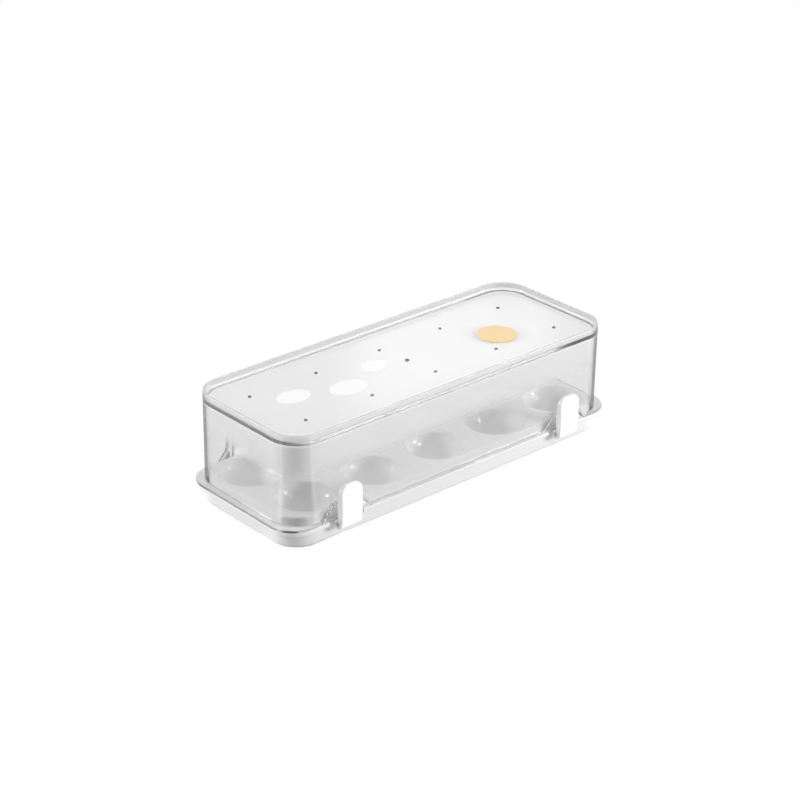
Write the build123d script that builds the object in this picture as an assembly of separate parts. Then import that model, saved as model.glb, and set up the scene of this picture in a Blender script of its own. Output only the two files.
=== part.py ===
from build123d import *
import os

# Egg keeper with a flip lid, in millimetres.
# A white tub carries a lift-out tray of egg cups. A clear lid turns on two hinge pins behind the
# tub, sits over the tray on the tub's ledge, and is held down by two white clips in front.
# Origin: middle of the tub's underside. +Z is up, +X runs along the length, the front is -Y.

# --- lid ---
lid_length = 280.0  # over the outer faces of the end walls
lid_width = 103.8  # over the outer faces of the front and back walls
lid_corner = 20.7  # outer corner radius of the walls
lid_wall = 2.0
lid_height = 64.7  # from the flange's underside to the top of the rim
rim_depth = 5.0  # how far the top plate lies below the rim
plate_thickness = 2.0
inner_round = 1.6  # rounding where the top plate meets the walls
plate_ledge = 2.0  # width of the rounded edge of the plate that stays with the walls
plate_gap = 0.05  # hairline between that edge and the rest of the plate
edge_soft = 0.6  # small rounding on moulded edges

# --- flange round the foot of the lid, and its four arches ---
flange_thickness = 2.0
flange_out_ends = 4.7  # finger grip at the short ends
flange_out_sides = 1.8
flange_corner = 18.3
arch_from_end = 43.0  # centre of each arch from the outer face of the nearer end wall
arch_rise = 10.5  # how far the flange climbs over each arch
arch_half_top = 11.5
arch_half_foot = 21.0

# --- tub ---
tub_inset_ends = 0.7  # how far the tub's wall lies inside the lid's outer wall
tub_inset_sides = 1.6
tub_corner_inset = 1.5
tub_floor = 2.0
tub_foot_round = 2.6
ledge_top = 14.0
ledge_thickness = 2.8
ledge_inset = 0.7  # how far the ledge stops short of the flange's edge
ledge_gap_half = 14.0  # half width of the gap in the ledge at each clip and hinge

# --- egg tray ---
skirt_wall = 2.0
skirt_gap_ends = 1.3  # free space between the tray's skirt and the lid's inner face
skirt_gap_sides = 1.8
cup_columns = 5
cup_rows = 2
cup_mouth_radius = 20.3
cup_depth = 16.0
cup_wall = 1.5
cup_mouth_round = 1.6
cup_stagger = 3.13  # each row is shifted this far along the length, one each way
deck_thickness = 2.0
cup_floor_gap = 0.8  # under the cups
cup_clear = 0.4  # between the cups and the tub's inner face

# --- vents and moulding mark in the top plate ---
vent_radius = 1.15
gate_radius = 1.6
gate_height = 0.5

# --- round yellow label on the top plate ---
spot_radius = 13.8
spot_thickness = 0.3
spot_from_end = 65.5  # its centre from the right end wall's outer face
spot_forward = 7.7  # its centre from the middle of the plate, towards the front

# --- pivots: the clips' in front and the lid's behind ---
pivot_beyond_flange = 0.6  # from the flange's long edge outwards to the pin's axis
pivot_below_ledge = 2.7
pin_radius = 1.5
knuckle_radius = 3.2
lug_radius = 2.6
clip_lug_width = 8.0
hinge_lug_width = 16.0
ear_width = 4.0
ear_foot_height = 6.0  # how far each ear runs up the lid's back wall
ear_foot_depth = 2.4
foot_above_ears = 0.5  # from the ears' upper ends to where the lid's foot ends

# --- clips ---
clip_width = 17.5
clip_thickness = 4.1
clip_above_catch = 11.8  # thumb tab above the catch
clip_foot_lift = 1.5  # the tab's lower edge above the knuckle's lowest point
clip_corner = 5.7
clip_edge_round = 0.9
clip_gap = 0.7  # between the clip's back and the catch
clip_bulge = 0.7
clip_top_thickness = 2.6
nose_height = 2.6

# --- clearances ---
lid_seat_gap = 0.3  # between the ledge and the flange lying on it
nose_gap = 0.25
nose_lift = 0.4  # the nose stands this far above the catch
running_gap = 0.05  # round a pin that turns in its hole
held_gap = 0.02  # round a pin that is held in its lug
side_gap = 0.3  # beside each lug

# --- values worked out from the ones above ---
lid_bottom = ledge_top + lid_seat_gap
rim_top = lid_bottom + lid_height
plate_top = rim_top - rim_depth
plate_bottom = plate_top - plate_thickness
lid_inner_length = lid_length - 2 * lid_wall
lid_inner_width = lid_width - 2 * lid_wall
lid_inner_corner = lid_corner - lid_wall
arch_offset = lid_length / 2 - arch_from_end
spot_x = lid_length / 2 - spot_from_end

flange_length = lid_length + 2 * flange_out_ends
flange_width = lid_width + 2 * flange_out_sides
flange_top = lid_bottom + flange_thickness
catch_top = flange_top + arch_rise
flange_edge = flange_width / 2

tub_length = lid_length - 2 * tub_inset_ends
tub_width = lid_width - 2 * tub_inset_sides
tub_corner = lid_corner - tub_corner_inset
tray_length = lid_inner_length - 2 * skirt_gap_ends
tray_width = lid_inner_width - 2 * skirt_gap_sides
tray_corner = lid_inner_corner - skirt_gap_sides
cavity_length = tray_length - 2 * skirt_wall
cavity_width = tray_width - 2 * skirt_wall
cavity_corner = tray_corner - skirt_wall

deck_top = tub_floor + cup_floor_gap + cup_wall + cup_depth
deck_bottom = deck_top - deck_thickness
cup_radius = (cup_mouth_radius**2 + cup_depth**2) / (2 * cup_depth)
cup_centre_z = deck_top - cup_depth + cup_radius
cup_outer_radius = cup_radius + cup_wall
cup_reach = (cup_outer_radius**2 - (cup_centre_z - deck_bottom) ** 2) ** 0.5
row_y = cavity_width / 2 - cup_clear - cup_reach
end_cup_x = cavity_length / 2 - cup_clear - cup_reach
cup_pitch = 2 * (end_cup_x - cup_stagger) / (cup_columns - 1)

pivot_y = flange_edge + pivot_beyond_flange
pivot_z = ledge_top - pivot_below_ledge
clip_back = -(flange_edge + clip_gap)
clip_front = clip_back - clip_thickness
clip_top = catch_top + clip_above_catch
clip_pin_length = clip_width - 2 * side_gap
hinge_pin_length = hinge_lug_width + 2 * (side_gap + ear_width)


def block(length, width, corner, bottom, top):
    # upright prism with a rounded-rectangle outline, centred on the Z axis
    outline = RectangleRounded(length, width, corner)
    return Pos(0, 0, bottom) * extrude(outline, top - bottom)


def soften(shape, radius):
    # rounds the upper and lower edges of an upright prism
    faces = shape.faces().sort_by(Axis.Z)
    return fillet(faces[0].edges() + faces[-1].edges(), radius)


def rod(radius, length, x, y, z):
    # round bar along X, centred at (x, y, z)
    return Pos(x, y, z) * Rot(0, 90, 0) * Cylinder(radius, length)


def bar(x_size, y_from, y_to, z_from, z_to, x=0.0):
    # plain box, centred at x along the length
    middle = Pos(x, (y_from + y_to) / 2, (z_from + z_to) / 2)
    return middle * Box(x_size, abs(y_to - y_from), abs(z_to - z_from))


def cup_places():
    # centres of the cups, which are also the places of the vents above them
    places = []
    for row in range(cup_rows):
        side = -1 if row == 0 else 1
        for column in range(cup_columns):
            along = (column - (cup_columns - 1) / 2) * cup_pitch
            places.append((along - side * cup_stagger, side * row_y))
    return places


def arch_prism(grow, bottom, side, x):
    # trapezoid under an arch, cut square through one long wall and its flange;
    # grow is how far its outline lies inside the arch's outer line
    slope = (arch_half_foot - arch_half_top) / arch_rise
    shift = grow * ((1 + slope**2) ** 0.5 - slope)
    half_top = arch_half_top - shift
    top = catch_top - grow
    half_foot = half_top + (top - bottom) * slope
    outline = Polyline(
        (-half_foot, bottom),
        (-half_top, top),
        (half_top, top),
        (half_foot, bottom),
        close=True,
    )
    inner_face = lid_inner_width / 2
    depth = flange_edge - inner_face
    face = Plane.XZ * make_face(outline)
    wall = extrude(face, depth / 2, both=True)
    return Pos(x, side * (inner_face + depth / 2), 0) * wall


def hinge_ear(x):
    # clear ear under a back arch: a round eye, running up to the lid's back wall
    eye = Pos(pivot_y, pivot_z) * Circle(knuckle_radius)
    foot_low = catch_top - flange_thickness
    foot_high = catch_top + ear_foot_height
    inner_face = lid_inner_width / 2
    foot_middle = inner_face + (lid_wall + ear_foot_depth) / 2
    foot = Pos(foot_middle, (foot_low + foot_high) / 2) * Rectangle(
        lid_wall + ear_foot_depth, foot_high - foot_low
    )
    outline = make_hull(eye.edges() + foot.edges())
    plate = extrude(Plane.YZ * outline, ear_width / 2, both=True)
    return Pos(x, 0, 0) * plate


def make_lid():
    # walls, rim, flange, arches and ears, cut level into the upper walls and the foot
    walls = block(lid_length, lid_width, lid_corner, lid_bottom, rim_top)
    inside = block(
        lid_inner_length, lid_inner_width, lid_inner_corner, lid_bottom, plate_bottom
    )
    inside = fillet(inside.faces().sort_by(Axis.Z)[-1].edges(), inner_round)
    recess = block(lid_inner_length, lid_inner_width, lid_inner_corner, plate_top, rim_top)
    recess = fillet(recess.faces().sort_by(Axis.Z)[0].edges(), inner_round)
    flange = block(flange_length, flange_width, flange_corner, lid_bottom, flange_top)
    flange = soften(flange, edge_soft)
    walls = fillet(walls.faces().sort_by(Axis.Z)[-1].edges(), edge_soft)
    plate_hole = block(
        lid_inner_length - 2 * plate_ledge,
        lid_inner_width - 2 * plate_ledge,
        lid_inner_corner - plate_ledge,
        lid_bottom,
        rim_top,
    )
    lid = walls + flange - inside - recess - plate_hole
    rim_edges = lid.faces().sort_by(Axis.Z)[-1].inner_wires().edges()
    lid = fillet(rim_edges, edge_soft)
    for side in (-1, 1):
        for x in (-arch_offset, arch_offset):
            lid = lid + arch_prism(0, lid_bottom, side, x)
            lid = lid - arch_prism(flange_thickness, lid_bottom - 1, side, x)
    ear_x = hinge_lug_width / 2 + side_gap + ear_width / 2
    for x in (-arch_offset, arch_offset):
        for step in (-ear_x, ear_x):
            lid = lid + hinge_ear(x + step)
        bore = rod(pin_radius + running_gap, 2 * hinge_pin_length, x, pivot_y, pivot_z)
        lid = lid - bore
    foot_top = catch_top + ear_foot_height + foot_above_ears
    reach = flange_width + 2 * pivot_y
    lower = bar(2 * flange_length, -reach, reach, -foot_top, foot_top)
    return lid - lower, lid & lower


def make_lid_top():
    # flat middle of the top plate; in the real lid plate, walls and foot are one moulding
    inset = plate_ledge + plate_gap
    plate = block(
        lid_inner_length - 2 * inset,
        lid_inner_width - 2 * inset,
        lid_inner_corner - inset,
        plate_bottom,
        plate_top,
    )
    for x, y in cup_places():
        vent = Cylinder(vent_radius, 3 * plate_thickness)
        plate = plate - Pos(x, y, plate_top) * vent
    gate = Pos(0, 0, plate_top) * Cylinder(gate_radius, 2 * gate_height)
    return plate + gate


def make_tub():
    wall = block(tub_length, tub_width, tub_corner, 0, ledge_top)
    wall = fillet(wall.faces().sort_by(Axis.Z)[0].edges(), tub_foot_round)
    ledge = block(
        flange_length - 2 * ledge_inset,
        flange_width - 2 * ledge_inset,
        flange_corner - ledge_inset,
        ledge_top - ledge_thickness,
        ledge_top,
    )
    ledge = soften(ledge, edge_soft)
    gap_depth = flange_edge - tub_width / 2
    for side in (-1, 1):
        for x in (-arch_offset, arch_offset):
            near = side * tub_width / 2
            far = side * (tub_width / 2 + gap_depth)
            low = ledge_top - ledge_thickness
            ledge = ledge - bar(2 * ledge_gap_half, near, far, low, ledge_top, x)
    cavity = block(cavity_length, cavity_width, cavity_corner, tub_floor, ledge_top)
    tub = wall + ledge - cavity
    for side, width in ((-1, clip_lug_width), (1, hinge_lug_width)):
        root = side * (cavity_width / 2 + skirt_wall)
        tip = side * pivot_y
        low = pivot_z - lug_radius
        high = pivot_z + lug_radius
        for x in (-arch_offset, arch_offset):
            tub = tub + bar(width, root, tip, low, high, x)
            tub = tub + rod(lug_radius, width, x, tip, pivot_z)
            tub = tub - rod(pin_radius + held_gap, 2 * width, x, tip, pivot_z)
    return tub


def make_tray():
    tray = block(tray_length, tray_width, tray_corner, ledge_top, deck_top)
    tray = fillet(tray.faces().sort_by(Axis.Z)[-1].edges(), edge_soft)
    tray = tray - block(
        cavity_length, cavity_width, cavity_corner, ledge_top, deck_bottom
    )
    bowl_top = block(tray_length, tray_width, tray_corner, 0, deck_top)
    for x, y in cup_places():
        bowl = Pos(x, y, cup_centre_z) * Sphere(cup_outer_radius)
        tray = tray + (bowl & bowl_top)
    for x, y in cup_places():
        tray = tray - Pos(x, y, cup_centre_z) * Sphere(cup_radius)
    mouths = [
        edge
        for edge in tray.edges().filter_by(GeomType.CIRCLE)
        if abs(edge.radius - cup_mouth_radius) < 0.01
        and abs(edge.arc_center.Z - deck_top) < 0.01
    ]
    return fillet(mouths, cup_mouth_round)


def make_clip(x):
    nose_low = catch_top + nose_lift
    nose_tip = -(flange_edge + nose_gap)
    top_back = clip_front + clip_bulge + clip_top_thickness
    clip_bottom = pivot_z - knuckle_radius + clip_foot_lift
    back = Polyline(
        (-pivot_y, pivot_z),
        (clip_back, pivot_z),
        (clip_back, nose_low),
        (nose_tip, nose_low),
        (nose_tip, nose_low + nose_height / 3),
        (clip_back, nose_low + nose_height),
        (top_back, clip_top),
        (clip_front + clip_bulge, clip_top),
    )
    front = ThreePointArc(
        (clip_front + clip_bulge, clip_top),
        (clip_front, (clip_top + clip_bottom) / 2),
        (clip_front + clip_bulge, clip_bottom),
    )
    close = Polyline(
        (clip_front + clip_bulge, clip_bottom),
        (-pivot_y, clip_bottom),
        (-pivot_y, pivot_z),
    )
    side = make_face(back + front + close)
    tongue = extrude(Plane.YZ * side, clip_width / 2, both=True)
    half = clip_width / 2
    low = pivot_z - 2 * knuckle_radius
    outline = Polyline(
        (-half, low), (-half, clip_top), (half, clip_top), (half, low), close=True
    )
    face = make_face(outline)
    corners = face.vertices().sort_by(Axis.Y)[-2:]
    face = fillet(corners, clip_corner)
    tongue = tongue & extrude(Plane.XZ * face, 2 * pivot_y, both=True)
    tongue = fillet(tongue.faces().sort_by(Axis.Y)[0].edges(), clip_edge_round)
    clip = tongue + rod(knuckle_radius, clip_width, 0, -pivot_y, pivot_z)
    slot = bar(
        clip_lug_width + 2 * side_gap,
        -(pivot_y + lug_radius + side_gap),
        0,
        pivot_z - 2 * knuckle_radius,
        pivot_z + lug_radius + side_gap,
    )
    clip = clip - slot
    clip = clip - rod(pin_radius + running_gap, 2 * clip_width, 0, -pivot_y, pivot_z)
    return Pos(x, 0, 0) * clip


def make_spot():
    middle = Pos(spot_x, -spot_forward, plate_top + spot_thickness / 2)
    return middle * Cylinder(spot_radius, spot_thickness)


lid_walls, lid_foot = make_lid()
parts = {
    "base_tub": make_tub(),
    "egg_tray": make_tray(),
    "lid": lid_walls,
    "lid_foot": lid_foot,
    "lid_top": make_lid_top(),
    "lid_spot": make_spot(),
}
for name, x in (("left", -arch_offset), ("right", arch_offset)):
    parts["clip_" + name] = make_clip(x)
    parts["clip_pin_" + name] = rod(pin_radius, clip_pin_length, x, -pivot_y, pivot_z)
    parts["hinge_pin_" + name] = rod(pin_radius, hinge_pin_length, x, pivot_y, pivot_z)

os.makedirs("parts", exist_ok=True)
for name, shape in parts.items():
    export_step(shape, "parts/" + name + ".step")
    print(name, round(shape.volume, 1))
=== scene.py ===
import math

import bmesh
import bpy
import numpy as np
from mathutils import Matrix, Vector


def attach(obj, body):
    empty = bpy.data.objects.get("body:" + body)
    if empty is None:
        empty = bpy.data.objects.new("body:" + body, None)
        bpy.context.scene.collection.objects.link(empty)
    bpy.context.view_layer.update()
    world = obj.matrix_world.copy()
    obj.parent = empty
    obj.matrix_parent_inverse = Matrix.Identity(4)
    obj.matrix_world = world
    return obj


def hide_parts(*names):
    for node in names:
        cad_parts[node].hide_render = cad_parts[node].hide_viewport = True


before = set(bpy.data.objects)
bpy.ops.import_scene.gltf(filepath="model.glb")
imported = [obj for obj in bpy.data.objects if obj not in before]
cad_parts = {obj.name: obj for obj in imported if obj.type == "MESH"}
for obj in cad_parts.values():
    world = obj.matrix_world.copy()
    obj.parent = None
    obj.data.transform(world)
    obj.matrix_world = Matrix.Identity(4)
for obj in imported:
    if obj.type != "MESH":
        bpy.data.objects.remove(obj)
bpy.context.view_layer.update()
print("frame loaded:", len(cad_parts), "nodes")


class Wire:
    # wraps a socket, so that maths on it reads as an expression
    def __init__(self, tree, socket):
        self.tree = tree
        self.socket = socket

    def combine(self, kind, *values):
        node = self.tree.nodes.new("ShaderNodeMath")
        node.operation = kind
        for slot, value in zip(node.inputs, values):
            plug(self.tree, slot, value)
        return Wire(self.tree, node.outputs[0])

    def __add__(self, other):
        return self.combine("ADD", self, other)

    def __radd__(self, other):
        return self.combine("ADD", other, self)

    def __sub__(self, other):
        return self.combine("SUBTRACT", self, other)

    def __rsub__(self, other):
        return self.combine("SUBTRACT", other, self)

    def __mul__(self, other):
        return self.combine("MULTIPLY", self, other)

    def __rmul__(self, other):
        return self.combine("MULTIPLY", other, self)

    def __truediv__(self, other):
        return self.combine("DIVIDE", self, other)

    def __pow__(self, other):
        return self.combine("POWER", self, other)

    def __abs__(self):
        return self.combine("ABSOLUTE", self)

    def clamped(self):
        return self.combine("MINIMUM", self.combine("MAXIMUM", self, 0.0), 1.0)

    def above(self, start, fade):
        # 0 up to the start, then evenly up to 1 over the fade
        return ((self - start) / fade).clamped()

    def below(self, start, fade):
        # 0 down to the start, then evenly up to 1 over the fade
        return ((start - self) / fade).clamped()


def plug(tree, slot, value):
    # links a wire, or sets a plain value
    if isinstance(value, Wire):
        tree.links.new(value.socket, slot)
    else:
        slot.default_value = value


class Finish:
    # one node tree of a material or the world; add() makes every node that isn't plain maths
    def __init__(self, name, owner=None):
        self.owner = owner or bpy.data.materials.new(name)
        self.owner.use_nodes = True
        self.tree = self.owner.node_tree
        self.tree.nodes.clear()

    def add(self, kind, sockets=None, settings=None, out=0):
        node = self.tree.nodes.new("ShaderNode" + kind)
        for key, value in (settings or {}).items():
            setattr(node, key, value)
        for key, value in (sockets or {}).items():
            plug(self.tree, node.inputs[key], value)
        return Wire(self.tree, node.outputs[out]) if node.outputs else None

    def place(self):
        return self.add("TexCoord", out="Object")

    def parts(self, vector):
        # x, y and z of a vector
        outputs = self.add("SeparateXYZ", {"Vector": vector}).socket.node.outputs
        return [Wire(self.tree, slot) for slot in outputs]

    def ray(self, question):
        # what the light path says of the ray, such as Is Camera Ray
        return self.add("LightPath", out=question)

    def noise(self, where, scale, detail):
        return self.add("TexNoise", {"Vector": where, "Scale": scale, "Detail": detail})

    def tint(self, factor, first, second):
        # colour that goes from first to second with the factor
        return self.add("Mix", {0: factor, 6: first, 7: second}, {"data_type": "RGBA"}, out=2)

    def blend(self, factor, first, second):
        # shader that goes from first to second with the factor
        return self.add("MixShader", {0: factor, 1: first, 2: second})

    def inGrey(self, kind, value):
        # a diffuse or transparent shader of one grey
        return self.add(kind, {"Color": grey(value)})

    def glow(self, strength):
        return self.add("Emission", {"Color": grey(1.0), "Strength": strength})

    def bump(self, height, strength, distance):
        return self.add("Bump", {"Height": height, "Strength": strength, "Distance": distance})

    def surface(self, shader):
        isWorld = isinstance(self.owner, bpy.types.World)
        self.add("OutputWorld" if isWorld else "OutputMaterial", {"Surface": shader})
        return self.owner


def grey(value):
    return (value,) * 3 + (1,)


# the camera: turned about the keeper, raised above it, and panned a little off its aim
cameraSet = {
    "turn": -42.163, "rise": 26.229, "roll": 0.803,
    "distance": 1.4597, "aim": (0.0, 0.0, 0.03896),
    "lens": 98.306, "sensor": 36.0, "clip": 0.05, "pan": -0.171, "tilt": 0.204,
}


def rightAndUp(ahead):
    # unit vectors to the right of a line of sight and above it
    right = ahead.cross(Vector((0, 0, 1))).normalized()
    return right, right.cross(ahead)


def makeCamera(settings):
    # back points from the aim to the camera; ahead is that line of sight, panned and tilted
    turn, rise = math.radians(settings["turn"]), math.radians(settings["rise"])
    pan, tilt = math.radians(settings["pan"]), math.radians(settings["tilt"])
    roll = math.radians(settings["roll"])
    back = Vector((math.sin(turn) * math.cos(rise), -math.cos(turn) * math.cos(rise), math.sin(rise)))
    right, up = rightAndUp(-back)
    ahead = (-back + math.tan(pan) * right + math.tan(tilt) * up).normalized()
    right, up = rightAndUp(ahead)
    rightEdge = math.cos(roll) * right + math.sin(roll) * up
    upEdge = -math.sin(roll) * right + math.cos(roll) * up
    turned = Matrix((rightEdge, upEdge, -ahead)).transposed().to_4x4()
    camera = bpy.data.cameras.new("camera")
    camera.lens = settings["lens"]
    camera.sensor_width = settings["sensor"]
    camera.clip_start = settings["clip"]
    holder = bpy.data.objects.new("camera", camera)
    bpy.context.scene.collection.objects.link(holder)
    place = Vector(settings["aim"]) + back * settings["distance"]
    holder.matrix_world = Matrix.Translation(place) @ turned
    bpy.context.scene.camera = holder


makeCamera(cameraSet)
bpy.context.scene.view_settings.view_transform = "Standard"
print("camera set")

# a soft box at the left and the right of the view, two small ones whose shine shows in the cups,
# a wide one overhead, and a faint one behind, as high as the camera, that whitens the top; power
# in watts
lampAim = (0, 0, 0.04)
lightSet = {
    "leftBox": {"place": (-0.94, 0.73, 0.44), "size": (0.24, 0.24), "power": 7.9},
    "rightBox": {"place": (0.98, -1.02, 0.34), "size": (0.30, 0.30), "power": 10.8},
    "frontCatch": {"place": (0.70, -1.05, 0.72), "size": (0.22, 0.34), "power": 4.4},
    "rearCatch": {"place": (-1.00, 0.52, 0.88), "size": (0.17, 0.17), "power": 1.7},
    "topBox": {"place": (0.15, 0.20, 1.25), "size": (1.2, 0.9), "power": 2.4},
    "backBox": {"place": (0.86, 0.86, 0.66), "size": (0.26, 0.20), "power": 0.23},
}


def makeLight(name, settings):
    lamp = bpy.data.lights.new(name, "AREA")
    lamp.shape = "RECTANGLE"
    lamp.size, lamp.size_y = settings["size"]
    lamp.energy = settings["power"]
    holder = bpy.data.objects.new(name, lamp)
    bpy.context.scene.collection.objects.link(holder)
    place = Vector(settings["place"])
    aim = (Vector(lampAim) - place).to_track_quat("-Z", "Y").to_matrix().to_4x4()
    holder.matrix_world = Matrix.Translation(place) @ aim
    holder.visible_camera = False


for lightName, lightValues in lightSet.items():
    makeLight(lightName, lightValues)

# the room: white to the camera; gloss and clear plastic see a white backdrop behind the part,
# dimmer walls beside it and a dim ceiling
roomSet = {
    "fill": 0.58, "dim": 0.16, "backdrop": 0.95,
    "behind": (0.671, 0.741), "narrow": 0.72, "soften": 0.18, "top": 0.55,
}


def makeRoom(settings):
    # card is 1 where the backdrop stands: towards the way behind, up to the ceiling, both edges soft
    world = bpy.data.worlds.new("room")
    bpy.context.scene.world = world
    room = Finish("room", world)
    way = room.parts(room.add("TexCoord", out="Generated"))
    towards = way[0] * settings["behind"][0] + way[1] * settings["behind"][1]
    card = (towards.above(settings["narrow"], settings["soften"])
            * way[2].below(settings["top"], settings["soften"]))
    shown = settings["dim"] + (settings["backdrop"] - settings["dim"]) * card
    camera, diffuse = room.ray("Is Camera Ray"), room.ray("Is Diffuse Ray")
    level = camera + (1.0 - camera) * (diffuse * settings["fill"] + (1.0 - diffuse) * shown)
    room.surface(room.add("Background", {"Color": grey(1.0), "Strength": level}))


makeRoom(roomSet)


def makePiece(name, points, faces):
    # an object from an (n, 3) array of points and a list of faces
    mesh = bpy.data.meshes.new(name)
    mesh.from_pydata(points.tolist(), [], faces)
    mesh.validate()
    piece = bpy.data.objects.new(name, mesh)
    bpy.context.scene.collection.objects.link(piece)
    return piece


# the floor: a pale sheet that keeps a faint shadow; beyond the sheet gloss sees it dimmer
floorSet = {
    "half": 4.0, "steps": 8, "glow": 0.96, "paint": 0.92, "bounce": 0.60,
    "middle": (0.30, 0.33), "near": 0.75, "far": 1.15, "beyond": 0.14,
    "cornerX": -0.080, "cornerY": -0.010, "cornerSoft": 0.036, "line": 1.9,
}


def makeFloor(settings):
    # flat square grid, larger than anything that is seen
    count = settings["steps"] + 1
    line = np.linspace(-settings["half"], settings["half"], count)
    x, y = np.meshgrid(line, line, indexing="ij")
    points = np.stack([x, y, np.zeros_like(x)], axis=-1).reshape(-1, 3)
    corner = (np.arange(count - 1)[:, None] * count + np.arange(count - 1)).ravel()
    faces = np.stack([corner, corner + count, corner + count + 1, corner + 1], axis=1)
    floor = makePiece("floor", points, faces.tolist())
    paint = Finish("floorPaint")
    axes = paint.parts(paint.place())
    camera = paint.ray("Is Camera Ray")
    onlyGloss = paint.ray("Is Glossy Ray") * (1.0 - camera)
    gloss = (paint.ray("Is Glossy Ray") + paint.ray("Is Transmission Ray")).clamped() * (1.0 - camera)
    matt = paint.blend(paint.ray("Is Diffuse Ray"), paint.inGrey("BsdfDiffuse", settings["paint"]),
                       paint.inGrey("BsdfDiffuse", settings["bounce"]))
    sheet = paint.blend((camera + gloss) * settings["glow"], matt, paint.glow(1.0))
    # gloss sees the floor dark in front of the near corner, with a bright line where that fades out
    ahead = (axes[0].below(settings["cornerX"], settings["cornerSoft"])
             * axes[1].below(settings["cornerY"], settings["cornerSoft"]))
    sheet = paint.blend(onlyGloss * (4.0 * ahead * (1.0 - ahead)), sheet, paint.glow(settings["line"]))
    offX, offY = axes[0] - settings["middle"][0], axes[1] - settings["middle"][1]
    away = (offX * offX + offY * offY) ** 0.5
    outside = away.above(settings["near"], settings["far"] - settings["near"])
    dim = (gloss * outside + onlyGloss * ahead.above(0.5, 0.5)).clamped()
    sheet = paint.blend(dim, sheet, paint.glow(settings["beyond"]))
    floor.data.materials.append(paint.surface(sheet))


makeFloor(floorSet)
print("room, lights and floor set")


def smooth(mesh, angle):
    # rounds look round, and edges that bend more than the angle stay sharp
    mesh.shade_smooth()
    mesh.set_sharp_from_angle(angle=math.radians(angle))


def gridFaces(rows, columns):
    # quads between neighbouring closed loops, row index first; they face out when the loops
    # run anticlockwise and the rows go outwards, then down
    row = np.arange(rows - 1)[:, None]
    column = np.arange(columns)[None, :]
    nextColumn = (column + 1) % columns
    quads = np.stack([row * columns + column, (row + 1) * columns + column,
                      (row + 1) * columns + nextColumn, row * columns + nextColumn], axis=-1)
    return quads.reshape(-1, 4)


def capped(rows, columns):
    # the quads of a stack of loops, with both ends closed
    faces = gridFaces(rows, columns).tolist()
    last = (rows - 1) * columns
    return faces + [list(range(columns)), list(range(last, last + columns))[::-1]]


def cutWith(piece, operation, *tools):
    # joins or takes away the tools with exact Booleans, then deletes them
    for tool in tools:
        change = piece.modifiers.new("change", "BOOLEAN")
        change.operation = operation
        change.solver = "EXACT"
        change.object = tool
    bpy.context.view_layer.update()
    finished = bpy.data.meshes.new_from_object(
        piece.evaluated_get(bpy.context.evaluated_depsgraph_get()))
    piece.modifiers.clear()
    piece.data = finished
    for tool in tools:
        bpy.data.objects.remove(tool)


def weld(mesh, nearness=0.000002):
    # joins vertices that lie on each other and drops faces without area
    work = bmesh.new()
    work.from_mesh(mesh)
    bmesh.ops.remove_doubles(work, verts=work.verts, dist=nearness)
    bmesh.ops.dissolve_degenerate(work, edges=work.edges, dist=nearness)
    work.to_mesh(mesh)
    work.free()


def rods(name, radius, places, axis, low, high, steps=32):
    # several closed cylinders in one mesh: a circle of the radius, square to the axis, at high and low
    angle = np.linspace(0, 2 * math.pi, steps, endpoint=False)
    circle = radius * np.stack([np.cos(angle), np.sin(angle)], axis=-1)
    shape = (len(places), 2, steps)
    across = np.broadcast_to(circle, shape + (2,)) + np.array(places)[:, None, None, :]
    along = np.broadcast_to(np.array([high, low])[None, :, None, None], shape + (1,))
    points = np.concatenate([along, across] if axis == "X" else [across, along], axis=-1)
    faces = []
    for count in range(len(places)):
        faces += [[index + count * 2 * steps for index in face] for face in capped(2, steps)]
    return makePiece(name, points.reshape(-1, 3), faces)


# the clear lid, in metres, with the sizes of the solids that it stands for; keep is how far from
# an edge the row lies that holds it in shape, levels are the plain wall's rows, and the points
# along a long side are archPlain and archFine from an arch's middle, and evenly spread elsewhere
lidSet = {
    "halfLength": 0.140, "halfWidth": 0.0519, "corner": 0.0207, "wall": 0.002,
    "foot": 0.0143, "rim": 0.079, "plateTop": 0.074, "plateUnder": 0.072,
    "flangeLength": 0.1447, "flangeWidth": 0.0537, "flangeCorner": 0.0183, "flangeThick": 0.002,
    "innerRound": 0.0016, "edgeRound": 0.0006, "footRound": 0.0005, "bevel": 0.00015,
    "archAt": 0.097, "archRise": 0.0105, "archTop": 0.0115, "archFoot": 0.021, "archEase": 0.0009,
    "keep": 0.0003, "plateKeep": 0.0004, "levels": (0.028, 0.030, 0.040, 0.050, 0.060),
    "outerLevel": 0.070, "innerLevel": 0.068, "arcSteps": 28, "shortSteps": 14,
    "innerPoints": 7, "edgePoints": 6, "footPoints": 5, "smoothAngle": 32,
    "archPlain": (0, 0.004, 0.008, 0.014, 0.016, 0.018),
    "archFine": ((0.0095, 0.0127), (0.0191, 0.0221)), "finePitch": 0.0003,
    "evenHalf": 0.07, "evenPoints": 15, "cornerKeep": 0.0001,
}
# ears behind the lid, from near to far beside each arch's middle
earSet = {
    "near": 0.0083, "far": 0.0123, "radius": 0.0032, "low": 0.0248, "high": 0.0328,
    "root": 0.0499, "tip": 0.0543, "edge": 0.0003, "eyePoints": 64, "ways": 720,
}
# the pins that the ears turn on, and the ends of their bores at either side
pinSet = {"y": 0.0543, "z": 0.0113, "bore": 0.00155, "near": 0.082, "far": 0.112}
# the vents, drilled from under to over, and the moulding mark in the middle, a ring with a hollow
ventSet = {
    "radius": 0.00115, "columns": 5, "rowY": 0.024405, "pitch": 0.054938, "stagger": 0.00313,
    "under": 0.070, "over": 0.076,
    "gateRadius": 0.0016, "gateFoot": 0.0735, "gateTop": 0.0745,
    "gateHollow": 0.00125, "gateFloor": 0.0732,
}


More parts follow.
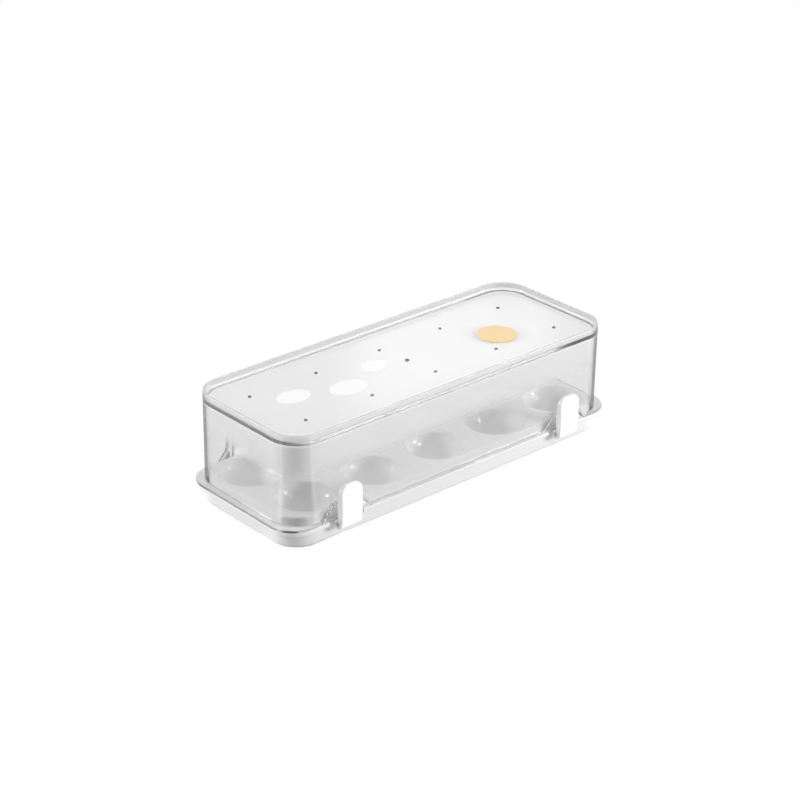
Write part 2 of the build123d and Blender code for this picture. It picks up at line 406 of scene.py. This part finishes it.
def archLift(x, settings, inset):
    # how far the flange climbs at x: level, a ramp, level over the arch; each bend is a parabola.
    # inset is how far the line lies inside the outer one, measured square to it
    run = (settings["archFoot"] - settings["archTop"]) / settings["archRise"]
    foot = settings["archFoot"] - inset * (math.hypot(1.0, run) - run)
    ease, top = settings["archEase"], settings["archRise"]
    rising = (foot - np.abs(np.abs(x) - settings["archAt"])) / run
    low = np.where(np.abs(rising) < ease, (rising + ease) ** 2 / (4 * ease), np.maximum(rising, 0))
    over = top - low
    return top - np.where(np.abs(over) < ease, (over + ease) ** 2 / (4 * ease), np.maximum(over, 0))


def longStations(settings):
    # x of the points along both long sides: close together at the arches' bends
    fine = [np.arange(low, high, settings["finePitch"]) for low, high in settings["archFine"]]
    bends = np.concatenate([settings["archPlain"]] + fine)
    arch = np.concatenate([settings["archAt"] - bends, settings["archAt"] + bends])
    even = np.linspace(-settings["evenHalf"], settings["evenHalf"], settings["evenPoints"])
    every = np.unique(np.round(np.concatenate([-arch, even, arch]), 6))
    return every[np.abs(every) < settings["halfLength"] - settings["corner"] - settings["cornerKeep"]]


def loop(halfLength, halfWidth, corner, stations, arcSteps, shortSteps):
    # anticlockwise loop round a rounded rectangle: stations along X, even steps elsewhere
    midX, midY = halfLength - corner, halfWidth - corner
    arc = np.linspace(0, math.pi / 2, arcSteps + 1)
    side = np.linspace(-midY, midY, shortSteps + 2)[1:-1]

    def turned(centreX, centreY, start):
        return np.stack([centreX + corner * np.cos(start + arc),
                         centreY + corner * np.sin(start + arc)], axis=-1)

    parts = [
        np.stack([stations, np.full_like(stations, -halfWidth)], axis=-1),
        turned(midX, -midY, -math.pi / 2),
        np.stack([np.full_like(side, halfLength), side], axis=-1),
        turned(midX, midY, 0.0),
        np.stack([stations[::-1], np.full_like(stations, halfWidth)], axis=-1),
        turned(-midX, midY, math.pi / 2),
        np.stack([np.full_like(side, -halfLength), side[::-1]], axis=-1),
        turned(-midX, -midY, math.pi),
    ]
    return np.concatenate(parts)


def makeLidShell(settings):
    # a profile of rows carried round the lid, from the plate's top over the rim, down the wall,
    # round the flange and up the inside to the plate's underside
    wall = (settings["halfLength"], settings["halfWidth"], settings["corner"])
    flange = (settings["flangeLength"], settings["flangeWidth"], settings["flangeCorner"])
    thick, soft, inner = settings["wall"], settings["edgeRound"], settings["innerRound"]
    rim, plate, under = settings["rim"], settings["plateTop"], settings["plateUnder"]
    foot, step, bevel = settings["foot"], settings["footRound"], settings["bevel"]
    keep, plateKeep = settings["keep"], settings["plateKeep"]
    upper = foot + settings["flangeThick"]
    innerTurns, edgeTurns, footTurns = [
        np.linspace(0, math.pi / 2, settings[key]) for key in ("innerPoints", "edgePoints", "footPoints")]
    rows = []

    def row(plan, inset, height, lift=None):
        rows.append((plan[0] - inset, plan[1] - inset, plan[2] - inset, height, lift))

    row(wall, thick + inner + plateKeep, plate)
    for angle in innerTurns:
        row(wall, thick + inner * (1 - math.sin(angle)), plate + inner * (1 - math.cos(angle)))
    row(wall, thick, plate + inner + keep)
    row(wall, thick, rim - soft - keep)
    for angle in edgeTurns:
        row(wall, thick - soft * (1 - math.cos(angle)), rim - soft + soft * math.sin(angle))
    for angle in edgeTurns:
        row(wall, soft * (1 - math.sin(angle)), rim - soft + soft * math.cos(angle))
    for height in (rim - soft - keep, settings["outerLevel"], *reversed(settings["levels"])):
        row(wall, 0.0, height)
    for angle in footTurns:
        row(wall, -step * (1 - math.cos(angle)), upper + step * (1 - math.sin(angle)), "top")
    row(wall, -step - bevel, upper, "top")
    row(flange, soft + bevel, upper, "top")
    for angle in edgeTurns:
        row(flange, soft * (1 - math.sin(angle)), upper - soft * (1 - math.cos(angle)), "top")
    for angle in edgeTurns:
        row(flange, soft * (1 - math.cos(angle)), foot + soft * (1 - math.sin(angle)), "under")
    row(flange, soft + bevel, foot, "under")
    row(wall, thick - 3 * bevel, foot, "under")
    row(wall, thick - bevel, foot, "under")
    row(wall, thick, foot + bevel, "under")
    row(wall, thick, foot + 3 * bevel, "under")
    for height in (*settings["levels"], settings["innerLevel"], under - inner - keep):
        row(wall, thick, height)
    for angle in innerTurns:
        row(wall, thick + inner * (1 - math.cos(angle)), under - inner + inner * math.sin(angle))
    row(wall, thick + inner + plateKeep, under)

    stations = longStations(settings)
    layers = []
    for halfLength, halfWidth, corner, height, lift in rows:
        plan = loop(halfLength, halfWidth, corner, stations, settings["arcSteps"], settings["shortSteps"])
        z = np.full(len(plan), height)
        if lift:
            z += archLift(plan[:, 0], settings, 0.0 if lift == "top" else settings["flangeThick"])
        layers.append(np.column_stack([plan, z]))
    points = np.concatenate(layers)
    return makePiece("clearLid", points, capped(len(rows), len(layers[0])))


def makeEars(settings, pins, arches):
    # flat ears: the outline is the hull of the eye's circle and the foot's corners, taken as the
    # farthest of their points each way; the rings are that outline, drawn in by the edge at both ends
    turn = np.linspace(0, 2 * math.pi, settings["eyePoints"], endpoint=False)
    eye = np.stack([pins["y"] + settings["radius"] * np.cos(turn),
                    pins["z"] + settings["radius"] * np.sin(turn)], axis=-1)
    foot = np.array([(settings["root"], settings["low"]), (settings["tip"], settings["low"]),
                     (settings["tip"], settings["high"]), (settings["root"], settings["high"])])
    both = np.concatenate([eye, foot])
    ways = np.linspace(0, 2 * math.pi, settings["ways"], endpoint=False)
    picked = np.argmax(both @ np.stack([np.cos(ways), np.sin(ways)]), axis=0)
    outline = both[picked[np.concatenate([[True], np.diff(picked) != 0])]]
    outline = outline[:-1] if np.allclose(outline[0], outline[-1]) else outline
    middle = outline.mean(axis=0)
    edge = settings["edge"]
    reach = np.linalg.norm(outline - middle, axis=1, keepdims=True)
    small = middle + (outline - middle) * (1 - edge / reach)
    count, faces, points = len(outline), [], []
    for side in (-arches, arches):
        for flip in (-1, 1):
            first, second = sorted((side + flip * settings["near"], side + flip * settings["far"]))
            start = len(points) * count
            rings = ((second, small), (second - edge, outline), (first + edge, outline), (first, small))
            points += [np.column_stack([np.full(count, x), ring]) for x, ring in rings]
            faces += [[index + start for index in face] for face in capped(4, count)]
    return makePiece("ears", np.concatenate(points), faces)


def ventPlaces(settings):
    # two rows of vents, each row shifted a little along the lid, one each way
    columns = settings["columns"]
    along = (np.arange(columns) - (columns - 1) / 2) * settings["pitch"]
    return np.concatenate([
        np.column_stack([along + settings["stagger"], np.full(columns, -settings["rowY"])]),
        np.column_stack([along - settings["stagger"], np.full(columns, settings["rowY"])])])


clearLid = makeLidShell(lidSet)
pinPlace, middle = [(pinSet["y"], pinSet["z"])], [(0, 0)]
cutWith(clearLid, "UNION", makeEars(earSet, pinSet, lidSet["archAt"]),
        rods("gate", ventSet["gateRadius"], middle, "Z", ventSet["gateFoot"], ventSet["gateTop"]))
cutWith(clearLid, "DIFFERENCE",
        rods("vents", ventSet["radius"], ventPlaces(ventSet), "Z", ventSet["under"], ventSet["over"]),
        rods("gateHollow", ventSet["gateHollow"], middle, "Z", ventSet["gateFloor"], ventSet["over"]),
        rods("leftBores", pinSet["bore"], pinPlace, "X", -pinSet["far"], -pinSet["near"]),
        rods("rightBores", pinSet["bore"], pinPlace, "X", pinSet["near"], pinSet["far"]))
weld(clearLid.data)
smooth(clearLid.data, lidSet["smoothAngle"])
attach(clearLid, "lid")
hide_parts("lid", "lid_foot", "lid_top")
print("clear lid:", len(clearLid.data.polygons), "faces")


# the lid's plastic: a little light is lost in its walls, and where one is seen edge on it is
# painted darker, a painted shade for the dark that refraction gathers there; light passes on to
# the egg tray by the share under passing, wallPassing and footPassing; noises are scale and detail
clearSet = {
    "clear": 0.90, "rough": 0.02, "ior": 1.49, "topRough": 0.20,
    "flow": (14.0, 2.0), "flowDim": 0.02, "flowRough": 0.01, "bump": 0.12, "depth": 0.0004,
    # edge to spared paint shade where a wall is seen edge on
    "edge": 0.55, "from": 0.44, "to": 0.80, "shadeMost": 0.85, "spared": 0.6,
    "passing": 0.96, "wallPassing": 0.86,
    "footPassing": 0.97, "footTo": 0.0168, "footFade": 0.0005, "footMilk": 0.22, "footColour": 0.92,
    # the gap values paint shade on the foot of each corner
    "gapTop": 0.0235, "gapFade": 0.0008, "gapFrom": 0.34, "gapSpread": 0.12, "gapShade": 0.50,
    "insideFrom": 0.9, "insideFade": 0.05, "deepest": 2.5,
    # the ends values paint a very dark shade near both ends of the top, where mirrored light arrives
    "ends": 0.109, "endsMiddle": -0.011, "endsFade": 0.008, "endsShadeColour": 0.03, "lost": 0.50,
}
# the lid's edges look softer than its walls, and rim and lip have darker stretches of painted shade
rimSet = {
    "clear": 0.90, "rough": 0.15, "soft": 0.40, "shade": 0.80,
    # dull is the grey of the painted shade on the rim's inner wall
    "dull": 0.48, "dullShadeMost": 0.50, "awayMiddle": 0.5, "awaySlope": 0.8, "inwardFade": 0.02,
}
roundSet = {"clear": 0.95, "rough": 0.12, "soft": 0.35, "shade": 0.85}
lipSet = {
    "clear": 0.92, "rough": 0.22, "soft": 0.30, "shade": 0.55,
    # the values below paint shade on the flange's edge at its corners and ends
    "from": 0.40, "fade": 0.15, "dark": 0.04, "shadeMost": 0.80,
    "endFrom": 0.94, "endFade": 0.04, "endShadeMost": 0.55,
}
# the vents' and mark's walls are largely a very dark diffuse: painted shade for the dark down each hole
ventShadeSet = {"clear": 0.30, "rough": 0.30, "soft": 0.65, "shade": 0.08}
edgeSets = {"rim": rimSet, "round": roundSet, "lip": lipSet, "vent": ventShadeSet}
mistSet = {
    # topColour is a paler copy of the walls' mist: painted light that makes the top lighter
    "colour": 0.86, "topColour": 0.96, "colourRough": 0.3, "mirror": 0.85, "through": 0.25,
    "level": 0.0455, "fade": 0.0150, "haze": 0.10, "cover": 0.97,
    "cloud": (30.0, 3.0), "cloudMost": 1.04, "cloudDepth": 0.08,
    "sidePassing": 0.57, "topPassing": 0.94, "passing": 0.92,
    "topFrom": 0.0700, "topFade": 0.0015, "lowFrom": 0.026, "lowFade": 0.010,
}
# plain ovals printed on the lid's top: x, y, half length, half width
printSet = {
    "ovals": ((-0.092, 0.006, 0.013, 0.009), (-0.056, -0.006, 0.015, 0.010),
              (-0.022, 0.008, 0.011, 0.0075)),
    "ink": 0.92, "cover": 0.65, "blur": 0.12,
}


def milky(finish, value, settings):
    # scatters light, a share of it to the far side
    front = finish.add("BsdfDiffuse", {"Color": grey(value), "Roughness": settings["colourRough"]})
    return finish.blend(settings["through"], front, finish.inGrey("BsdfTranslucent", value))


def normalParts(finish):
    return finish.parts(finish.add("TexCoord", out="Normal"))


def normalSizes(finish):
    # how far the surface faces along X, Y and Z, either way
    return [abs(part) for part in normalParts(finish)]


def cornerMask(sizes, start, fade):
    # 1 in the middle of a corner, where the surface faces along X and Y alike
    return sizes[0].combine("MINIMUM", sizes[0], sizes[1]).above(start, fade)


def wallShades(finish, axes, settings, shader, passing):
    # painted shade where the wall is seen edge on; the flange is milky and lets more light through to the
    # tub
    facing = finish.add("LayerWeight", {"Blend": 0.5}, out="Facing")
    edgeOn = facing.above(settings["from"], settings["to"] - settings["from"])
    sizes = normalSizes(finish)
    dark = finish.inGrey("BsdfTransparent", settings["edge"])
    shader = finish.blend(edgeOn * (1.0 - settings["spared"] * sizes[2]) * settings["shadeMost"], shader, dark)
    # the foot of each corner is painted darker, a painted shade for the dark gap behind it
    low = axes[2].below(settings["gapTop"], settings["gapFade"])
    low = low * cornerMask(sizes, settings["gapFrom"], settings["gapSpread"])
    shader = finish.blend(low * settings["gapShade"], shader, dark)
    foot = axes[2].below(settings["footTo"], settings["footFade"])
    pale = finish.inGrey("BsdfDiffuse", settings["footColour"])
    shader = finish.blend(foot * settings["footMilk"], shader, pale)
    more = finish.inGrey("BsdfTransparent", settings["footPassing"])
    return shader, finish.blend(foot, passing, more)


def mistShades(finish, where, axes, settings, mirrored, shader, passing):
    # the mist thickens smoothly with height, and mirrors what runs inside the plastic; less of the
    # light that comes in at the sides gets through than from above
    top = axes[2].above(settings["topFrom"], settings["topFade"])
    # the plate takes the paler copy of the mist, painted light
    soft = finish.blend(top, milky(finish, settings["colour"], settings),
                        milky(finish, settings["topColour"], settings))
    upper = axes[2].above(settings["level"], settings["fade"])
    upper = upper * upper * (3.0 - 2.0 * upper)
    cloud = finish.noise(where, *settings["cloud"])
    even = (settings["cloudMost"] - settings["cloudDepth"] * cloud).clamped()
    hidden = settings["haze"] + (settings["cover"] - settings["haze"]) * upper * even
    shader = finish.blend(hidden * (1.0 - settings["mirror"] * mirrored), shader, soft)
    beside, above, bounced = [finish.inGrey("BsdfTransparent", settings[key])
                              for key in ("sidePassing", "topPassing", "passing")]
    passing = finish.blend(axes[2].above(settings["lowFrom"], settings["lowFade"]), passing, beside)
    passing = finish.blend(top, passing, above)
    return shader, finish.blend(finish.ray("Is Diffuse Ray"), passing, bounced)


def rimPaintedShade(finish, axes, settings, shader):
    # painted shade: the rim's inner wall takes a darker grey where it faces the front or the left
    parts = normalParts(finish)
    away = (settings["awayMiddle"] - settings["awaySlope"] * (parts[0] + parts[1])).clamped()
    inward = (parts[0] * axes[0] + parts[1] * axes[1]).below(0.0, settings["inwardFade"])
    dull = finish.inGrey("BsdfDiffuse", settings["dull"])
    return finish.blend(away * inward * settings["dullShadeMost"], shader, dull)


def lipPaintedShade(finish, settings, shader):
    # painted shade: the flange's edge is dark in the middle of each corner, and less so along both ends
    sizes = normalSizes(finish)
    bend = cornerMask(sizes, settings["from"], settings["fade"])
    end = sizes[0].above(settings["endFrom"], settings["endFade"])
    dark = finish.inGrey("BsdfDiffuse", settings["dark"])
    return finish.blend(bend * settings["shadeMost"] + end * settings["endShadeMost"], shader, dark)


def printOvals(finish, axes, settings, shader):
    marks = 0.0
    for x, y, halfLength, halfWidth in settings["ovals"]:
        offX, offY = (axes[0] - x) / halfLength, (axes[1] - y) / halfWidth
        marks = marks + (offX * offX + offY * offY).below(1.0, settings["blur"])
    ink = finish.inGrey("BsdfDiffuse", settings["ink"])
    return finish.blend(marks * settings["cover"], shader, ink)


def clearFinish(name, kind, settings):
    # clear moulded plastic; the inner skin's upper band and the top are misted, which hides what
    # lies behind
    finish = Finish(name)
    where = finish.place()
    axes = finish.parts(where)
    flow = finish.noise(where, *settings["flow"])
    mirrored = finish.add("Fresnel", {"IOR": settings["ior"]})
    edge = edgeSets.get(kind)
    clear, rough = (edge or settings)["clear"], (edge or settings)["rough"]
    if kind == "top":
        rough = settings["topRough"] * (1.0 - mirrored)
    shader = finish.add("BsdfPrincipled", {
        "Base Color": finish.tint(flow, grey(clear), grey(clear - settings["flowDim"])),
        "Transmission Weight": 1.0, "IOR": settings["ior"],
        "Roughness": rough + settings["flowRough"] * flow,
        "Normal": finish.bump(flow, settings["bump"], settings["depth"])})
    passing = finish.inGrey("BsdfTransparent", settings["wallPassing" if kind == "wall" else "passing"])
    if edge:
        shader = finish.blend(edge["soft"], shader, finish.inGrey("BsdfDiffuse", edge["shade"]))
    if kind == "rim":
        shader = rimPaintedShade(finish, axes, rimSet, shader)
    if kind == "lip":
        shader = lipPaintedShade(finish, lipSet, shader)
    if kind == "wall":
        shader, passing = wallShades(finish, axes, settings, shader, passing)
    if kind == "mist":
        shader, passing = mistShades(finish, where, axes, mistSet, mirrored, shader, passing)
    if kind == "top":
        shader = printOvals(finish, axes, printSet, shader)
    # light that is mirrored inside the plastic meets a very dark diffuse near both ends of the top:
    # painted shade for the plate's dark edge line; elsewhere it leaves again after a few bounces
    inside = mirrored.above(settings["insideFrom"], settings["insideFade"])
    ends = 0.0
    if kind in ("mist", "top"):
        ends = abs(axes[0] - settings["endsMiddle"]).above(settings["ends"], settings["endsFade"])
        endsShade = finish.inGrey("BsdfDiffuse", settings["endsShadeColour"])
        shader = finish.blend(ends * inside * settings["lost"], shader, endsShade)
    if kind != "vent":
        leaves = (finish.ray("Glossy Depth") - settings["deepest"]).clamped() * inside * (1.0 - ends)
        shader = finish.blend(leaves, shader, finish.inGrey("BsdfTransparent", 1.0))
    light = (finish.ray("Is Shadow Ray") + finish.ray("Is Diffuse Ray")).clamped()
    return finish.surface(finish.blend(light, shader, passing))


# the lid's finishes by kind of face, in the order of its material slots
clearKinds = {
    "wall": "lidPolished", "mist": "lidMisted", "top": "lidTop", "rim": "lidRim",
    "vent": "lidVents", "round": "lidRound", "lip": "lidLip",
}
clearLid.data.materials.clear()
for kind, finishName in clearKinds.items():
    clearLid.data.materials.append(clearFinish(finishName, kind, clearSet))

# where faces change kind: the lip ends at lipTop, and the vents lie inset from the wall
skinSet = {"lipTop": 0.030, "slack": 0.0002, "inset": 0.006, "upright": 0.3}


def reachFrom(places, halfLength, halfWidth, corner):
    # distance of each place from a rectangle that is a corner's radius smaller all round, negative
    # inside it
    flat = np.abs(places) - np.array([halfLength - corner, halfWidth - corner])
    return np.linalg.norm(np.maximum(flat, 0), axis=1) + np.minimum(flat.max(axis=1), 0)


def skinFaces(mesh, lid, settings):
    # material slot of each face: mist is the inner skin, nearer the middle than the wall's mid line
    # and below the plate's middle; top the plate's top inside the rim; round the bend from there to
    # the rim; rim its inner wall and edge; lip the flange's edge; vent the walls of vents and mark
    centres, normals = np.zeros((len(mesh.polygons), 3)), np.zeros((len(mesh.polygons), 3))
    mesh.polygons.foreach_get("center", centres.ravel())
    mesh.polygons.foreach_get("normal", normals.ravel())
    height = centres[:, 2]
    reach = reachFrom(centres[:, :2], lid["halfLength"], lid["halfWidth"], lid["corner"])
    flangeReach = reachFrom(centres[:, :2], lid["flangeLength"], lid["flangeWidth"], lid["flangeCorner"])
    inside = reach < lid["corner"] - lid["wall"] / 2
    middle = (lid["plateTop"] + lid["plateUnder"]) / 2
    level = lid["plateTop"] + lid["innerRound"]
    kinds = np.full(len(centres), "wall", dtype="U5")
    kinds[inside & (height < middle)] = "mist"
    kinds[inside & (height > middle) & (height < level)] = "top"
    kinds[(kinds == "top") & (height > lid["plateTop"] + lid["bevel"] / 3)] = "round"
    kinds[inside & (height > level)] = "rim"
    kinds[height > lid["rim"] - lid["edgeRound"]] = "rim"
    lip = (flangeReach > lid["flangeCorner"] - lid["edgeRound"]) & (height < settings["lipTop"])
    kinds[lip & (centres[:, 1] < lid["flangeWidth"] + settings["slack"])] = "lip"
    drilled = (reach < lid["corner"] - settings["inset"]) & (height > lid["plateUnder"] - settings["slack"])
    kinds[drilled & (np.abs(normals[:, 2]) < settings["upright"])] = "vent"
    order = list(clearKinds)
    return np.array([order.index(kind) for kind in kinds], dtype=np.int32)


clearLid.data.polygons.foreach_set("material_index", skinFaces(clearLid.data, lidSet, skinSet))

# opaque moulded plastic, what is common and what each part has of its own; noises are scale and
# detail
mouldedSet = {
    "cloud": (22.0, 2.0), "dull": 0.965, "patches": (60.0, 3.0), "spread": 0.08,
    "peel": (900.0, 2.0), "depth": 0.0002, "ior": 1.5,
}
tubSet = {
    "colour": (0.77, 0.772, 0.775), "rough": 0.28, "gloss": 0.5,
    "coat": 0.08, "coatRough": 0.08, "grain": 0.10,
}
traySet = {
    "colour": (0.84, 0.842, 0.845), "rough": 0.45, "gloss": 0.2,
    "coat": 1.0, "coatRough": 0.03, "grain": 0.05,
}
clipSet = {
    "colour": (0.96, 0.96, 0.96), "rough": 0.25, "gloss": 0.5,
    "coat": 0.3, "coatRough": 0.08, "grain": 0.08,
}


def plasticFinish(name, settings, moulded):
    # faint cloudiness in the colour, a fine orange-peel bump
    finish = Finish(name)
    where = finish.place()
    bright = settings["colour"]
    dull = tuple(value * moulded["dull"] for value in bright)
    return finish.surface(finish.add("BsdfPrincipled", {
        "Base Color": finish.tint(finish.noise(where, *moulded["cloud"]), bright + (1,), dull + (1,)),
        "Roughness": settings["rough"] + moulded["spread"] * finish.noise(where, *moulded["patches"]),
        "IOR": moulded["ior"], "Specular IOR Level": settings["gloss"],
        "Coat Weight": settings["coat"], "Coat Roughness": settings["coatRough"],
        "Normal": finish.bump(finish.noise(where, *moulded["peel"]), settings["grain"], moulded["depth"])}))


wireSet = {
    "stretch": (40.0, 2500.0, 2500.0), "streaks": (1.0, 2.0),
    "dark": (0.66, 0.66, 0.67, 1), "bright": (0.74, 0.74, 0.75, 1),
    "rough": 0.22, "spread": 0.18, "bump": 0.15, "depth": 0.0001,
}


def steelFinish(name, settings):
    # drawn wire: streaks along X in the roughness and a fine bump
    finish = Finish(name)
    stretched = finish.add("Mapping", {"Vector": finish.place(), "Scale": settings["stretch"]},
                           {"vector_type": "POINT"})
    streak = finish.noise(stretched, *settings["streaks"])
    return finish.surface(finish.add("BsdfPrincipled", {
        "Base Color": finish.tint(streak, settings["dark"], settings["bright"]),
        "Metallic": 1.0, "Roughness": settings["rough"] + settings["spread"] * streak,
        "Normal": finish.bump(streak, settings["bump"], settings["depth"])}))


labelSet = {
    "colour": (0.88, 0.67, 0.37, 1), "dim": (0.85, 0.62, 0.31, 1),
    "grain": (1400.0, 1.0), "cloud": (60.0, 2.0), "grainShare": 0.35, "cloudShare": 0.5,
    "rough": 0.34, "spread": 0.12, "ior": 1.48, "bump": 0.05, "depth": 0.0001,
}


def labelFinish(name, settings):
    # printed film: even ink with a faint press grain and slightly worn gloss
    finish = Finish(name)
    where = finish.place()
    grain, cloud = finish.noise(where, *settings["grain"]), finish.noise(where, *settings["cloud"])
    uneven = settings["grainShare"] * grain + settings["cloudShare"] * cloud
    return finish.surface(finish.add("BsdfPrincipled", {
        "Base Color": finish.tint(uneven, settings["colour"], settings["dim"]),
        "Roughness": settings["rough"] + settings["spread"] * cloud, "IOR": settings["ior"],
        "Normal": finish.bump(grain, settings["bump"], settings["depth"])}))


def dress(material, *names):
    for name in names:
        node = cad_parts[name]
        node.data.materials.clear()
        node.data.materials.append(material)


dress(plasticFinish("tubPlastic", tubSet, mouldedSet), "base_tub")
dress(plasticFinish("trayPlastic", traySet, mouldedSet), "egg_tray")
dress(plasticFinish("clipPlastic", clipSet, mouldedSet), "clip_left", "clip_right")
dress(steelFinish("drawnWire", wireSet),
      "clip_pin_left", "clip_pin_right", "hinge_pin_left", "hinge_pin_right")
dress(labelFinish("yellowPrint", labelSet), "lid_spot")
print("finishes set")

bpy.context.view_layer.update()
